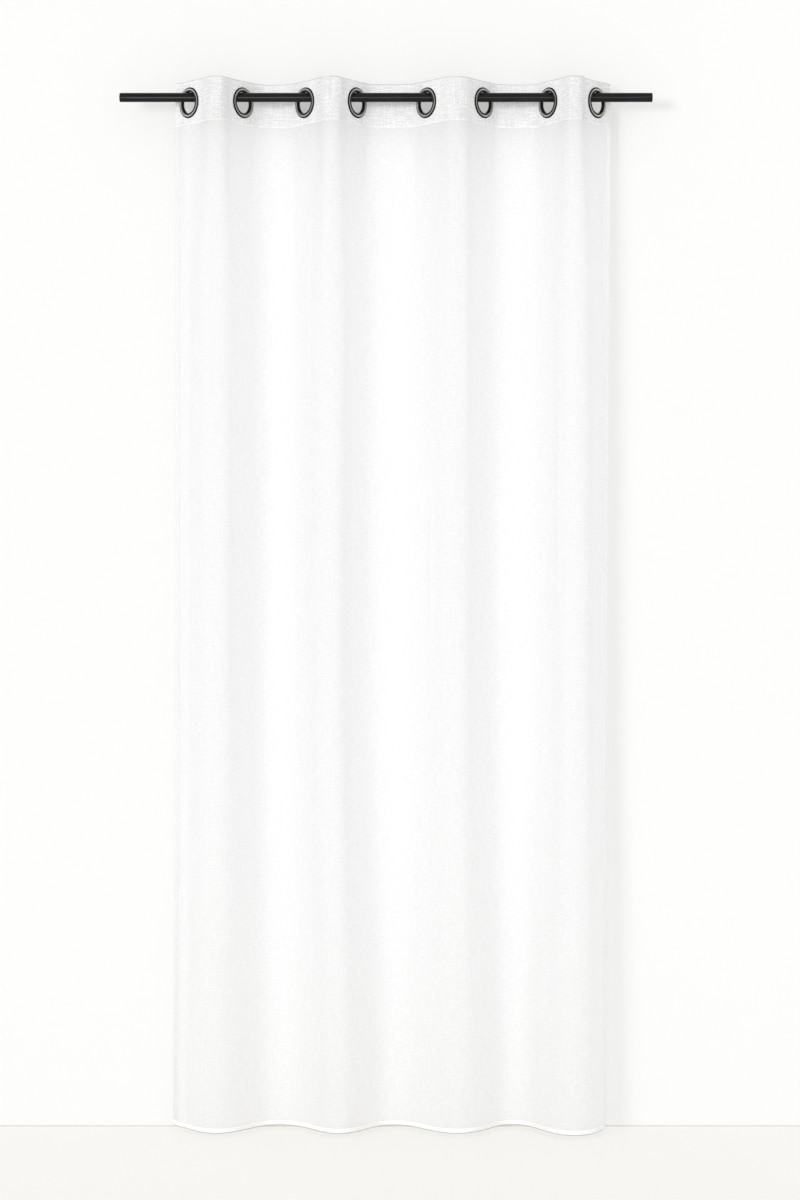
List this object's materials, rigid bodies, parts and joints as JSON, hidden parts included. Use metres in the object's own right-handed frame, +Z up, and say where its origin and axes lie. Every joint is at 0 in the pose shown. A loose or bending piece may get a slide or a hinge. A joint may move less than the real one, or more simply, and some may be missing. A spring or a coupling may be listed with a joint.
{
  "type": "eyelet curtain with rod",
  "caption": "Sheer voile curtain hanging in soft upright waves from a plain round rod, held by metal eyelets in its stiffened heading.",
  "frame": {"origin": "the middle of the rod's axis, where brackets or cords hold the rod up", "axes": "+X along the rod to the right as seen from the front, +Y towards the wall behind, +Z up; the front faces -Y"},
  "size_m": [1.22, 0.1372, 2.4],
  "materials": {
    "voile": "sheer white linen-look voile, plain weave with fine upright slubs",
    "heading_voile": "the same voile doubled over a stiffening tape, nearly opaque",
    "eyelet_metal": "gunmetal, satin, dark in its grooves",
    "rod_paint": "smooth black, semi-gloss"
  },
  "bodies": {
    "root": {"panel": "voile", "heading": "heading_voile", "eyelet_1_front": "eyelet_metal", "eyelet_1_back": "eyelet_metal", "eyelet_2_front": "eyelet_metal", "eyelet_2_back": "eyelet_metal", "eyelet_3_front": "eyelet_metal", "eyelet_3_back": "eyelet_metal", "eyelet_4_front": "eyelet_metal", "eyelet_4_back": "eyelet_metal", "eyelet_5_front": "eyelet_metal", "eyelet_5_back": "eyelet_metal", "eyelet_6_front": "eyelet_metal", "eyelet_6_back": "eyelet_metal", "eyelet_7_front": "eyelet_metal", "eyelet_7_back": "eyelet_metal", "eyelet_8_front": "eyelet_metal", "eyelet_8_back": "eyelet_metal", "rod": "rod_paint"}
  },
  "joints": []
}
